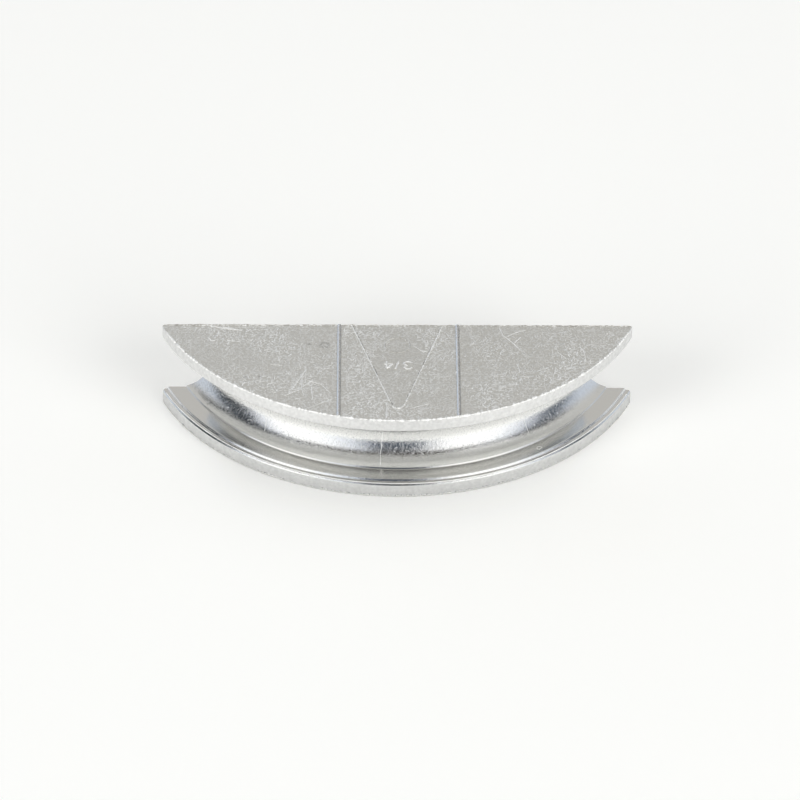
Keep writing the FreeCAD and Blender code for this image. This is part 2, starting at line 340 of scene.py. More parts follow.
# The tube groove: machined and rubbed bright by the tubes. It mirrors the room, and the fibrous
# rubbing marks make the mirrored edges ragged. Real ones are a few hundredths of a millimetre
# wide. They are drawn at 0.15 mm, over creases of 0.9 mm, to show.
polished, tree, shader = blank_material("machined_aluminium_polished")
wrap = add(tree, "ShaderNodeAttribute", attribute_name="wrap").outputs["Vector"]
fibres = add(
    tree,
    "ShaderNodeTexNoise",
    {
        "Vector": wrap,
        "Scale": 1 / (0.9 * MM),
        "Detail": 3.0,
        "Roughness": 0.7,
        "Distortion": 0.8,
    },
)
crease = add(tree, "ABSOLUTE", [add(tree, "SUBTRACT", [fibres, 0.5])])
waves = add(tree, "ShaderNodeTexNoise", {"Vector": wrap, "Scale": 1 / (7 * MM), "Detail": 1.0})
hairs = top_of(
    tree,
    [
        scratch_layer(tree, wrap, spacing, width, seed)
        for (spacing, width, seed) in [
            (1.1, 0.15, 0.013),
            (1.5, 0.15, 0.029),
            (2.1, 0.16, 0.047),
            (3.1, 0.16, 0.061),
        ]
    ],
)
along_height = add(
    tree, "ShaderNodeSeparateXYZ", {"Vector": add(tree, "ShaderNodeTexCoord").outputs["Object"]}
).outputs["Z"]
above_foot = add(tree, "ShaderNodeMapRange", [along_height, 6.9 * MM, 8.2 * MM, 0.15, 1.0])
below_top = add(tree, "ShaderNodeMapRange", [along_height, 20 * MM, 16.5 * MM, 0.25, 1.0])
hairs = add(tree, "MULTIPLY", [hairs, add(tree, "MULTIPLY", [above_foot, below_top])])
shader.inputs["Base Color"].default_value = linear("#E1E1DF")
metal = add(tree, "ShaderNodeMapRange", [hairs, 0.0, 1.0, 1.0, 0.68])
tree.links.new(metal.outputs[0], shader.inputs["Metallic"])
rough = add(tree, "ShaderNodeMapRange", [hairs, 0.0, 1.0, 0.05, 0.3])
tree.links.new(rough.outputs[0], shader.inputs["Roughness"])
relief = add(tree, "MULTIPLY_ADD", [waves, 0.6, crease])
relief = add(tree, "MULTIPLY_ADD", [hairs, 0.12, relief])
bump = add(tree, "ShaderNodeBump", {"Height": relief, "Strength": 1.0, "Distance": 0.075 * MM})
tree.links.new(bump.outputs[0], shader.inputs["Normal"])

# The land and the ledges beside the groove: dressed with the same cut, rubbed less, so that they
# blur what they mirror. The creases are drawn at 0.9 mm, as in the groove.
dressed, tree, shader = blank_material("machined_aluminium_satin")
wrap = add(tree, "ShaderNodeAttribute", attribute_name="wrap").outputs["Vector"]
fibre_place = add(tree, "ShaderNodeMapping", {"Vector": wrap, "Scale": (1.0, 0.5, 1.0)})
fibres = add(
    tree,
    "ShaderNodeTexNoise",
    {"Vector": fibre_place, "Scale": 1 / (0.9 * MM), "Detail": 2.0, "Distortion": 0.8},
)
shader.inputs["Metallic"].default_value = 1.0
shader.inputs["Base Color"].default_value = linear("#DCDBD8")
shader.inputs["Roughness"].default_value = 0.15
bump = add(tree, "ShaderNodeBump", {"Height": fibres, "Strength": 1.0, "Distance": 0.03 * MM})
tree.links.new(bump.outputs[0], shader.inputs["Normal"])


def section_points():
    """The section's corners in order, from the top face out, round the groove and back under.
    Each is (radius, height, round, zone of the run that follows)."""
    lip_z = math.sqrt(groove_radius**2 - (bend_radius - lip_radius) ** 2)
    start = math.atan2(lip_z, lip_radius - bend_radius)
    upper = [
        (back_offset, face_z, 0, FACE),
        (rim_radius, face_z, edge_round, RIM),
        (rim_radius, groove_z + ledge_gap, rim_round, RIM),
        (ledge_radius, groove_z + ledge_gap, step_round, RIM),
        (ledge_radius, groove_z + groove_radius, step_round, RIM),
        (land_radius, groove_z + groove_radius, lip_round, RIM),
    ]
    arc = []
    turns = 72
    for i in range(turns + 1):
        angle = start + (2 * math.pi - 2 * start) * i / turns
        arc.append(
            (
                bend_radius + groove_radius * math.cos(angle),
                groove_z + groove_radius * math.sin(angle),
                lip_round if i in (0, turns) else 0,
                GROOVE if i < turns else LAND,
            )
        )
    lower = [
        (land_radius, groove_z - groove_radius, lip_round, LAND),
        (ledge_radius - step_from, groove_z - groove_radius, step_round, GROOVE),
        (ledge_radius - step_to, groove_z - ledge_gap, step_round, LAND),
        (rim_radius - chamfer_run, groove_z - ledge_gap, chamfer_round, GROOVE),
        (rim_radius, groove_z - ledge_gap - chamfer_drop, chamfer_round, RIM),
        (rim_radius, 0, edge_round, UNDERSIDE),
        (back_offset, 0, 0, UNDERSIDE),
    ]
    return upper + arc + lower


def section_wire():
    """The section as points with rounded corners and even runs, and the zone of each run."""
    corners = section_points()
    points, zones = [], []
    steps = {FACE: 1.4, RIM: 0.6, GROOVE: 1.0, LAND: 0.6, UNDERSIDE: 2.4}
    holding = 0.08

    def go(target, zone, spacing):
        """A straight run of points to target."""
        if points:
            here = points[-1]
            run = (target - here).length
            count = max(1, math.ceil(run / spacing))
            for i in range(1, count + 1):
                points.append(here.lerp(target, i / count))
                zones.append(zone)
        else:
            points.append(target)

    zone_before = corners[0][3]
    for i, (r, z, size, zone) in enumerate(corners):
        here = Vector((r, z))
        if not size:
            go(here, zone_before, steps[zone_before])
        else:
            back = (Vector(corners[i - 1][:2]) - here).normalized()
            ahead = (Vector(corners[i + 1][:2]) - here).normalized()
            half = back.angle(ahead) / 2
            room = 0.45 * min(
                (Vector(corners[i - 1][:2]) - here).length,
                (Vector(corners[i + 1][:2]) - here).length,
            )
            cut = min(size / math.tan(half), room)
            radius = cut * math.tan(half)
            centre = here + (back + ahead).normalized() * (radius / math.sin(half))
            first, last = here + back * cut, here + ahead * cut
            start_side, end_side = first - centre, last - centre
            count = max(2, math.ceil(math.degrees(math.pi - 2 * half) / 22))
            gap = (first - points[-1]).length
            if gap > 4 * holding:
                go(first + back * holding, zone_before, steps[zone_before])
            go(first, zone_before, 1e9)
            for k in range(1, count + 1):
                blend = start_side.slerp(end_side, k / count)
                points.append(centre + blend.normalized() * radius)
                edge_zone = zone if k * 2 > count else zone_before
                zones.append(GROOVE if size == chamfer_round else edge_zone)
            following = (Vector(corners[i + 1][:2]) - last).length
            if following > 4 * holding:
                go(last + ahead * holding, zone, 1e9)
        zone_before = zone
    return points, zones


wire_points, wire_zones = section_wire()
wire = bpy.data.meshes.new("shoe_section")
wire.from_pydata(
    [(p.x * MM, 0, p.y * MM) for p in wire_points],
    [(i, i + 1) for i in range(len(wire_points) - 1)],
    [],
)
run_length = [0.0]
for before, after in zip(wire_points, wire_points[1:]):
    run_length.append(run_length[-1] + (after - before).length * MM)
wire.attributes.new("length", "FLOAT", "POINT").data.foreach_set("value", run_length)
wire.attributes.new("zone", "INT", "EDGE").data.foreach_set("value", wire_zones)
shoe = bpy.data.objects.new("shoe_body", wire)
bpy.context.scene.collection.objects.link(shoe)


def new_tree(name, **inputs):
    """A Geometry Nodes tree with its geometry sockets and its named inputs."""
    tree = bpy.data.node_groups.new(name, "GeometryNodeTree")
    tree.interface.new_socket("Geometry", in_out="OUTPUT", socket_type="NodeSocketGeometry")
    tree.interface.new_socket("Geometry", in_out="INPUT", socket_type="NodeSocketGeometry")
    for label, kind in inputs.items():
        tree.interface.new_socket(
            label.replace("_", " "), in_out="INPUT", socket_type=f"NodeSocket{kind}"
        )
    return tree, tree.nodes.new("NodeGroupInput"), tree.nodes.new("NodeGroupOutput")


def grow(piece, tree, **amounts):
    """Runs the tree on the piece with these inputs, and leaves the result as its plain mesh."""
    modifier = piece.modifiers.new(tree.name, "NODES")
    modifier.node_group = tree
    for item in tree.interface.items_tree:
        label = item.name.replace(" ", "_")
        if item.in_out == "INPUT" and label in amounts:
            modifier[item.identifier] = amounts[label]
    piece.update_tag()
    evaluated = piece.evaluated_get(bpy.context.evaluated_depsgraph_get())
    grown = bpy.data.meshes.new_from_object(evaluated)
    piece.modifiers.clear()
    piece.data = grown
    return piece


sweep, given, result = new_tree(
    "sweep_round_bend_axis",
    Axis_Distance="Float",
    Back_Offset="Float",
    Bend_Radius="Float",
    Steps="Int",
)
wire_in = given.outputs["Geometry"]
rows = add(sweep, "GeometryNodeAttributeDomainSize", {"Geometry": wire_in}).outputs["Point Count"]
columns = add(sweep, "ADD", [given.outputs["Steps"], 1.0])
grid = add(
    sweep,
    "GeometryNodeMeshGrid",
    {"Vertices X": columns, "Vertices Y": rows},
)
index = add(sweep, "GeometryNodeInputIndex")
row = add(sweep, "MODULO", [index, rows])
column = add(sweep, "FLOOR", [add(sweep, "DIVIDE", [index, rows])])
corner = add(
    sweep,
    "GeometryNodeSampleIndex",
    {
        "Geometry": wire_in,
        "Value": add(sweep, "GeometryNodeInputPosition"),
        "Index": row,
    },
    data_type="FLOAT_VECTOR",
)
along = add(
    sweep,
    "GeometryNodeSampleIndex",
    {
        "Geometry": wire_in,
        "Value": add(
            sweep, "GeometryNodeInputNamedAttribute", {"Name": "length"}, data_type="FLOAT"
        ),
        "Index": row,
    },
    data_type="FLOAT",
)
section_part = add(sweep, "ShaderNodeSeparateXYZ", {"Vector": corner})
radius = section_part.outputs["X"]
share = add(
    sweep,
    "ShaderNodeMapRange",
    {"Value": column, 2: given.outputs["Steps"], 3: -1.0, 4: 1.0},
)
half_turn = add(
    sweep,
    "ARCCOSINE",
    [add(sweep, "MINIMUM", [add(sweep, "DIVIDE", [given.outputs["Back Offset"], radius]), 1.0])],
)
turn = add(sweep, "MULTIPLY", [share, half_turn])
swept_place = add(
    sweep,
    "ShaderNodeCombineXYZ",
    {
        "X": add(sweep, "MULTIPLY", [radius, add(sweep, "SINE", [turn])]),
        "Y": add(
            sweep,
            "SUBTRACT",
            [
                given.outputs["Axis Distance"],
                add(sweep, "MULTIPLY", [radius, add(sweep, "COSINE", [turn])]),
            ],
        ),
        "Z": section_part.outputs["Z"],
    },
)
placed = add(
    sweep, "GeometryNodeSetPosition", {"Geometry": grid.outputs["Mesh"], "Position": swept_place}
)
wrapped = add(
    sweep,
    "GeometryNodeStoreNamedAttribute",
    {
        "Geometry": placed,
        "Name": "wrap",
        "Value": add(
            sweep,
            "ShaderNodeCombineXYZ",
            {"X": add(sweep, "MULTIPLY", [turn, given.outputs["Bend Radius"]]), "Y": along},
        ),
    },
    data_type="FLOAT_VECTOR",
    domain="POINT",
)
run = add(sweep, "MODULO", [index, add(sweep, "SUBTRACT", [rows, 1.0])])
zone = add(
    sweep,
    "GeometryNodeSampleIndex",
    {
        "Geometry": wire_in,
        "Value": add(
            sweep, "GeometryNodeInputNamedAttribute", {"Name": "zone"}, data_type="INT"
        ),
        "Index": run,
    },
    data_type="INT",
    domain="EDGE",
)
zoned = add(
    sweep,
    "GeometryNodeStoreNamedAttribute",
    {"Geometry": wrapped, "Name": "zone", "Value": zone},
    data_type="INT",
    domain="FACE",
)
merged = add(sweep, "GeometryNodeMergeByDistance", {"Geometry": zoned, "Distance": 0.002 * MM})
smooth = add(sweep, "GeometryNodeSetShadeSmooth", {"Geometry": merged})
clad = add(sweep, "GeometryNodeRealizeInstances", {"Geometry": smooth})
face_zone = add(sweep, "GeometryNodeInputNamedAttribute", {"Name": "zone"}, data_type="INT")
for number, material in [
    (FACE, satin),
    (RIM, matt),
    (GROOVE, polished),
    (LAND, dressed),
    (UNDERSIDE, satin),
]:
    is_zone = add(
        sweep,
        "FunctionNodeCompare",
        {2: face_zone, 3: number},
        data_type="INT",
        operation="EQUAL",
    )
    clad = add(
        sweep,
        "GeometryNodeSetMaterial",
        {"Geometry": clad, "Selection": is_zone, "Material": material},
    )
sweep.links.new(clad.outputs[0], result.inputs[0])

grow(
    shoe,
    sweep,
    Axis_Distance=axis_y * MM,
    Back_Offset=back_offset * MM,
    Bend_Radius=bend_radius * MM,
    Steps=420,
)

# The flat back and the blind socket close the swept skin. Both are as cast.
socket_radius = 8.0
socket_depth = 22.0
socket_lead_in = 0.8
around = 72
skin = bmesh.new()
skin.from_mesh(shoe.data)
matt_slot = list(shoe.data.materials).index(matt)
open_edges = [e for e in skin.edges if e.is_boundary]

# The upright edges at the two tips are worn round, the left one more.
left_wear, right_wear, wear_reach = 1.1, 0.6, 1.4
for vert in skin.verts:
    wear = (left_wear if vert.co.x < 0 else right_wear) * MM
    off_back = back_y * MM - vert.co.y
    outermost = (abs(vert.co.x) / MM - half_back + wear_reach) / wear_reach
    if off_back < wear and outermost > 0:
        cut = wear - math.sqrt(max(0.0, wear**2 - (wear - off_back) ** 2))
        vert.co.x -= math.copysign(0.75 * cut * min(1.0, outermost), vert.co.x)


def socket_ring(radius, inward):
    """A ring of points round the socket's middle, at that distance in from the back."""
    return [
        skin.verts.new(
            (
                radius * MM * math.cos(2 * math.pi * i / around),
                (back_y - inward) * MM,
                (middle_z + radius * math.sin(2 * math.pi * i / around)) * MM,
            )
        )
        for i in range(around)
    ]


rings = [
    socket_ring(socket_radius + socket_lead_in, 0),
    socket_ring(socket_radius, socket_lead_in),
    socket_ring(socket_radius, socket_depth - 0.5),
    socket_ring(socket_radius - 0.5, socket_depth),
]
mouth = [skin.edges.new((rings[0][i], rings[0][i - 1])) for i in range(around)]
bmesh.ops.triangle_fill(
    skin, use_beauty=True, use_dissolve=False, edges=open_edges + mouth, normal=(0, 1, 0)
)
for outer, inner in zip(rings, rings[1:]):
    for i in range(around):
        skin.faces.new((outer[i], outer[i - 1], inner[i - 1], inner[i]))
skin.faces.new(rings[-1])
for face in skin.faces:
    middle = face.calc_center_median()
    on_back = middle.y > (back_y - 0.01) * MM
    in_socket = (
        middle.y > (back_y - socket_depth - 0.1) * MM
        and max(abs(v.co.x) for v in face.verts) < (socket_radius + socket_lead_in + 0.1) * MM
        and all(abs(v.co.z - middle_z * MM) < (socket_radius + 1) * MM for v in face.verts)
    )
    if on_back or in_socket:
        face.material_index = matt_slot
bmesh.ops.recalc_face_normals(skin, faces=skin.faces)
for edge in skin.edges:
    edge.smooth = len(edge.link_faces) == 2 and edge.calc_face_angle() < math.radians(32)
skin.to_mesh(shoe.data)
skin.free()
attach(shoe, "root")
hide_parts("bender_shoe")

# ---------------------------------------------------------------------------------------------
# Raised lines of the casting: beads, the insert's V line, the size numerals and the flash. Each
# is cast in one with the shoe and drawn as a wire that a tree thickens; most take the rubbed
# finish.
# ---------------------------------------------------------------------------------------------
ridge, given, result = new_tree(
    "raised_line",
    Width="Float",
    Height="Float",
    Step="Float",
    Unevenness="Float",
    Wander="Float",
    Grain="Float",
    Foot="Float",
    Seed="Float",
    Finish="Material",
)
line = add(ridge, "GeometryNodeMeshToCurve", {"Mesh": given.outputs["Geometry"]})
fine = add(
    ridge,
    "GeometryNodeResampleCurve",
    {"Curve": line, "Length": given.outputs["Step"]},
    mode="LENGTH",
)
fineness = add(ridge, "DIVIDE", [1.0, given.outputs["Grain"]])
where = add(ridge, "GeometryNodeInputPosition")
drift = add(
    ridge,
    "ShaderNodeTexNoise",
    {"Vector": where, "W": given.outputs["Seed"], "Scale": fineness, "Detail": 2.0},
    noise_dimensions="4D",
)
sideways = add(
    ridge, "ShaderNodeVectorMath", [drift.outputs["Color"], (0.5, 0.5, 0.5)], operation="SUBTRACT"
)
flat_sideways = add(
    ridge, "ShaderNodeVectorMath", [sideways, (2.0, 2.0, 0.0)], operation="MULTIPLY"
)
wandered = add(
    ridge,
    "GeometryNodeSetPosition",
    {
        "Geometry": fine,
        "Offset": add(
            ridge,
            "ShaderNodeVectorMath",
            {0: flat_sideways, "Scale": given.outputs["Wander"]},
            operation="SCALE",
        ),
    },
)
lumps = add(
    ridge,
    "ShaderNodeTexNoise",
    {
        "Vector": where,
        "W": add(ridge, "ADD", [given.outputs["Seed"], 7.0]),
        "Scale": fineness,
        "Detail": 1.0,
    },
    noise_dimensions="4D",
)
swing = add(ridge, "MULTIPLY", [add(ridge, "SUBTRACT", [lumps, 0.5]), given.outputs["Unevenness"]])
thickness = add(ridge, "MAXIMUM", [add(ridge, "MULTIPLY_ADD", [swing, 4.0, 1.0]), 0.12])
round_bar = add(
    ridge,
    "GeometryNodeCurvePrimitiveCircle",
    {"Resolution": 8, "Radius": add(ridge, "DIVIDE", [given.outputs["Width"], 2.0])},
)
bar = add(
    ridge,
    "GeometryNodeCurveToMesh",
    {"Curve": wandered, "Profile Curve": round_bar, "Scale": thickness, "Fill Caps": True},
)
over_foot = add(
    ridge,
    "SUBTRACT",
    [add(ridge, "ShaderNodeSeparateXYZ", {"Vector": where}).outputs["Z"], given.outputs["Foot"]],
)
press = add(
    ridge,
    "SUBTRACT",
    [
        add(
            ridge,
            "DIVIDE",
            [add(ridge, "MULTIPLY", [given.outputs["Height"], 2.0]), given.outputs["Width"]],
        ),
        1.0,
    ],
)
pressed = add(
    ridge,
    "GeometryNodeSetPosition",
    {
        "Geometry": bar,
        "Offset": add(
            ridge, "ShaderNodeCombineXYZ", {"Z": add(ridge, "MULTIPLY", [over_foot, press])}
        ),
    },
)
finished = add(
    ridge,
    "GeometryNodeSetMaterial",
    {
        "Geometry": add(
            ridge,
            "GeometryNodeRealizeInstances",
            {"Geometry": add(ridge, "GeometryNodeSetShadeSmooth", {"Geometry": pressed})},
        ),
        "Material": given.outputs["Finish"],
    },
)
ridge.links.new(finished.outputs[0], result.inputs[0])

# Rubbed edges of the casting: torn pale metal, bright from every side. Its grain is 0.4 mm.
rubbed, tree, shader = blank_material("aluminium_rubbed_pale")
place = add(tree, "ShaderNodeTexCoord").outputs["Object"]
grain = add(tree, "ShaderNodeTexNoise", {"Vector": place, "Scale": 2500.0, "Detail": 2.0})
shader.inputs["Base Color"].default_value = linear("#F7F7F4")
metal = add(tree, "ShaderNodeMapRange", [grain, 0.35, 0.65, 0.1, 0.8])
tree.links.new(metal.outputs[0], shader.inputs["Metallic"])
shader.inputs["Roughness"].default_value = 0.4

# The beads are smoother: their flanks mirror the room on either side. Their grain is 0.6 mm.
bead_skin, tree, shader = blank_material("die_cast_aluminium_smooth")
place = add(tree, "ShaderNodeTexCoord").outputs["Object"]
grain = add(tree, "ShaderNodeTexNoise", {"Vector": place, "Scale": 1600.0, "Detail": 3.0})
shader.inputs["Metallic"].default_value = 1.0
shader.inputs["Base Color"].default_value = linear("#E3E3E1")
shader.inputs["Roughness"].default_value = 0.2
bump = add(tree, "ShaderNodeBump", {"Height": grain, "Strength": 1.0, "Distance": 0.2 * MM})
tree.links.new(bump.outputs[0], shader.inputs["Normal"])


def raised(
    name,
    runs,
    width,
    height,
    foot,
    seed,
    unevenness=0.0,
    wander=0.0,
    grain=0.8,
    step=0.25,
    finish=None,
):
    """A piece of raised lines along these runs of points, all in millimetres."""
    points = [p for run in runs for p in run]
    links, first = [], 0
    for run in runs:
        links += [(first + i, first + i + 1) for i in range(len(run) - 1)]
        first += len(run)
    mesh = bpy.data.meshes.new(name)
    mesh.from_pydata([(x * MM, y * MM, z * MM) for x, y, z in points], links, [])
    piece = bpy.data.objects.new(name, mesh)
    bpy.context.scene.collection.objects.link(piece)
    grow(
        piece,
        ridge,
        Width=width * MM,
        Height=height * MM,
        Step=step * MM,
        Unevenness=unevenness,
        Wander=wander * MM,
        Grain=grain * MM,
        Foot=foot * MM,
        Seed=float(seed),
        Finish=finish or rubbed,
    )
    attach(piece, "root")
    return piece


def rim_y(x, radius=rim_radius):
    """Where the rim, or another round about the bend axis, lies at this x."""
    return axis_y - math.sqrt(radius**2 - x**2)


# Two beads cross the upper face from the back to the rim. They stand a little out of parallel.
bead_width = 1.4
left_bead, right_bead = (-18.55, -18.9), (19.2, 19.25)
raised(
    "beads",
    [
        [(at_back, back_y - 0.02, face_z), (at_rim, rim_y(at_rim, rim_radius - 0.15), face_z)]
        for at_back, at_rim in (left_bead, right_bead)
    ],
    bead_width,
    bead_height - 0.02,
    face_z,
    seed=1,
    unevenness=0.05,
    wander=0.04,
    grain=1.2,
    finish=bead_skin,
)

# The V line is the flash of the mould's insert: two arms and a round tip, broken at one place
# where it was rubbed away.


def insert_run(start, end, count):
    """Points of the V line from one place to another; 0 is the left end and 1 the right."""
    arm_foot = (
        tip_round * math.cos(insert_slope),
        tip_y - tip_round * math.sin(insert_slope),
    )
    arm_top = arm_foot[0] + (back_y - arm_foot[1]) * math.tan(insert_slope)
    path = [(-arm_top, back_y - 0.02)]
    for i in range(13):
        angle = math.pi + insert_slope + (math.pi - 2 * insert_slope) * i / 12
        path.append((tip_round * math.cos(angle), tip_y + tip_round * math.sin(angle)))
    path.append((arm_top, back_y - 0.02))
    reach = [0.0]
    for a, b in zip(path, path[1:]):
        reach.append(reach[-1] + math.dist(a, b))
    points = []
    for i in range(count):
        goal = reach[-1] * (start + (end - start) * i / (count - 1))
        k = max(j for j in range(len(path) - 1) if reach[j] <= goal + 1e-9)
        share = (goal - reach[k]) / (reach[k + 1] - reach[k])
        points.append(
            (
                path[k][0] + (path[k + 1][0] - path[k][0]) * share,
                path[k][1] + (path[k + 1][1] - path[k][1]) * share,
                face_z,
            )
        )
    return points


raised(
    "insert_line",
    [insert_run(0.0, 0.452, 40), insert_run(0.478, 1.0, 60)],
    0.34,
    0.16,
    face_z,
    seed=2,
    unevenness=1.2,
    wander=0.12,
    grain=1.0,
)

# Plain size numerals, cast raised and worn. They read from the back of the shoe.
numeral_height = 3.95
strokes = {
    "3": (
        1.9,
        [[(0.0, 0.82), (0.12, 0.96), (0.32, 1.0), (0.52, 0.93), (0.6, 0.76), (0.52, 0.6),
          (0.3, 0.53), (0.54, 0.45), (0.64, 0.26), (0.54, 0.07), (0.32, 0.0), (0.1, 0.05),
          (0.0, 0.18)]],
    ),
    "/": (-0.3, [[(0.47, 0.0), (0.75, 1.0)]]),
    "4": (-4.2, [[(0.46, 0.0), (0.46, 1.0), (0.0, 0.34), (0.64, 0.34)]]),
}
numeral_top = 2.1
raised(
    "size_numerals",
    [
        [
            (
                left + numeral_height * (0.64 - u),
                numeral_top + numeral_height * (1 - v),
                face_z,
            )
            for u, v in stroke
        ]
        for left, lines in strokes.values()
        for stroke in lines
    ],
    0.6,
    0.22,
    face_z,
    seed=3,
    unevenness=0.6,
    wander=0.12,
    grain=0.7,
)

# The mark of the ejector pin: a faint ring, hardly proud of the face.
pin_radius = 4.05
pin_y = back_y - 11.0
raised(
    "ejector_ring",
    [
        [
            (
                pin_radius * math.sin(2 * math.pi * i / 64),
                pin_y + pin_radius * math.cos(2 * math.pi * i / 64),
                face_z,
            )
            for i in range(65)
        ]
    ],
    0.42,
    0.12,
    face_z,
    seed=4,
    unevenness=0.5,
    wander=0.05,
    grain=1.5,
    finish=satin,
)

# Burrs: the edges were filed by hand, which left a thin broken curl of metal along the top of
# the rim, the foot of the lower rim and the edge of the back.


def rim_arc(radius, z, first, last, spacing=0.5):
    """Points along an edge round the bend axis, between two angles from the middle."""
    count = max(2, math.ceil(math.radians(last - first) * radius / spacing))
    angles = [math.radians(first + (last - first) * i / count) for i in range(count + 1)]
    return [
        (radius * math.sin(turn), axis_y - radius * math.cos(turn), z) for turn in angles
    ]


end_angle = math.degrees(math.acos(back_offset / rim_radius))
raised(
    "upper_rim_burr",
    [rim_arc(rim_radius - 0.12, face_z - 0.1, -end_angle + 3, end_angle - 3)],
    0.44,
    0.26,
    face_z - 0.1,
    seed=5,
    unevenness=1.6,
    wander=0.16,
    grain=0.8,
    step=0.2,
)
raised(
    "lower_rim_burr",
    [rim_arc(rim_radius - 0.12, 0.6, -end_angle + 1, end_angle - 1)],
    0.4,
    0.28,
    0.6,
    seed=6,
    unevenness=1.3,
    wander=0.12,
    grain=0.8,
    step=0.2,
    finish=dressed,
)
raised(
    "ledge_edge_line",
    [rim_arc(rim_radius - 0.6, groove_z - ledge_gap - 0.02, -end_angle + 2, end_angle - 2)],
    0.4,
    0.2,
    groove_z - ledge_gap - 0.02,
    seed=12,
    unevenness=0.3,
    wander=0.06,
    grain=3.0,
)
raised(
    "back_edge_burr",
    [[(-half_back + 1, back_y - 0.1, face_z), (half_back - 1, back_y - 0.1, face_z)]],
    0.5,
    0.2,
    face_z - 0.1,
    seed=7,
    unevenness=0.9,
    wander=0.3,
    grain=1.1,
    step=0.2,
    finish=satin,
)

# Knots: small lumps on the V line and the beads, and where the beads meet the rim.
lump, given, result = new_tree("lumps", Flatness="Float", Finish="Material")
ball = add(lump, "GeometryNodeMeshIcoSphere", {"Radius": 1.0, "Subdivisions": 2})
size = add(lump, "GeometryNodeInputNamedAttribute", {"Name": "size"}, data_type="FLOAT")
spread = add(
    lump,
    "GeometryNodeInstanceOnPoints",
    {
        "Points": given.outputs["Geometry"],
        "Instance": ball,
        "Scale": add(
            lump,
            "ShaderNodeCombineXYZ",
            {"X": size, "Y": size, "Z": add(lump, "MULTIPLY", [size, given.outputs["Flatness"]])},
        ),
    },
)
finished = add(
    lump,
    "GeometryNodeSetMaterial",
    {
        "Geometry": add(
            lump,
            "GeometryNodeSetShadeSmooth",
            {"Geometry": add(lump, "GeometryNodeRealizeInstances", {"Geometry": spread})},
        ),
        "Material": given.outputs["Finish"],
    },
)
lump.links.new(finished.outputs[0], result.inputs[0])
knot_places = [
    (-2.92, -15.25, 0.34),
    (3.63, -11.7, 0.36),
    (-1.33, -19.2, 0.36),
    (-8.48, 6.04, 0.36),
    (-13.2, 22.5, 0.26),
    (right_bead[1] - 0.35, 0.15, 0.62),
    (left_bead[1] - 0.1, rim_y(left_bead[1], rim_radius - 0.1), 0.75),
    (left_bead[1] + 0.35, rim_y(left_bead[1], rim_radius - 1.7), 0.4),
    (right_bead[1] + 0.1, rim_y(right_bead[1], rim_radius - 0.1), 0.7),
    (right_bead[1] + 0.05, rim_y(right_bead[1], rim_radius - 1.3), 0.5),
    (55.1, 13.4, 0.3),
    (54.4, 14.2, 0.22),
    (67.2, 21.7, 0.26),
    (23.6, -8.4, 0.3),
]
knots_mesh = bpy.data.meshes.new("knots")
knots_mesh.from_pydata([(x * MM, y * MM, face_z * MM) for x, y, _ in knot_places], [], [])
knots_mesh.attributes.new("size", "FLOAT", "POINT").data.foreach_set(
    "value", [radius * MM for _, _, radius in knot_places]
)
knots = bpy.data.objects.new("knots", knots_mesh)
bpy.context.scene.collection.objects.link(knots)
grow(knots, lump, Flatness=0.6, Finish=rubbed)
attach(knots, "root")

# Deep scratches and nicks on the upper face, drawn as their thrown-up edges: first the broad ones,
# then the fine ones.
broad_runs = [
    [(-59.6, 25.4), (-54.5, 24.4), (-49.6, 23.0)],
    [(-57.6, 24.6), (-52.8, 23.6)],
    [(-60.2, 18.9), (-59.4, 17.2), (-58.2, 17.3)],
    [(33.8, 20.7), (36.6, 17.0), (39.8, 11.7)],
]
fine_runs = [
    [(-54.0, 17.5), (-50.3, 16.8)],
    [(-40.5, 4.1), (-39.0, 4.2), (-36.8, 3.7)],
    [(-33.5, -9.1), (-31.0, -3.0), (-28.9, 1.9)],
    [(-30.4, -1.8), (-30.5, -9.0), (-29.8, -12.6)],
    [(-27.4, -8.0), (-27.1, -14.3)],
    [(-28.6, -4.4), (-24.4, -6.5), (-21.4, -11.2)],
    [(-36.0, -12.6), (-31.5, -9.6), (-27.0, -4.0)],
    [(32.7, 24.9), (33.8, 20.7)],
    [(35.3, 20.2), (38.0, 22.3), (41.2, 23.7)],
    [(37.4, 16.5), (39.3, 19.6)],
    [(38.1, 4.9), (38.7, 1.7), (38.6, 0.2)],
    [(39.2, -1.9), (42.0, -2.2)],
    [(51.0, 11.8), (53.7, 8.1)],
    [(5.6, 1.6), (7.0, 0.3)],
    [(-0.6, -1.5), (0.2, -0.6)],
    [(5.4, 14.6), (8.6, 11.0)],
    [(7.2, 12.4), (9.4, 11.4)],
    [(4.4, -19.2), (9.6, -17.0)],
    [(-3.56, -16.3), (-3.61, -24.2)],
]
for name, runs, width, height, seed in [
    ("broad_scratches", broad_runs, 0.5, 0.11, 8),
    ("fine_scratches", fine_runs, 0.3, 0.06, 11),
]:
    raised(
        name,
        [[(x, y, face_z) for x, y in run] for run in runs],
        width,
        height,
        face_z,
        seed=seed,
        unevenness=0.5,
        wander=0.14,
        grain=0.8,
    )

# A nick on the land, and flash lines across the groove: hair-fine cracks of the mould, which left
# thin raised threads.


def groove_thread(turn_from, turn_to, tilt_from, tilt_to, count=12):
    """Points on the half-round between two angles round the axis and two round the section."""
    points = []
    for i in range(count + 1):
        turn = math.radians(turn_from + (turn_to - turn_from) * i / count)
        tilt = math.radians(tilt_from + (tilt_to - tilt_from) * i / count)
        r = bend_radius - groove_radius * math.cos(tilt)
        points.append(
            (
                r * math.sin(turn),
                axis_y - r * math.cos(turn),
                groove_z - groove_radius * math.sin(tilt),
            )
        )
    return points


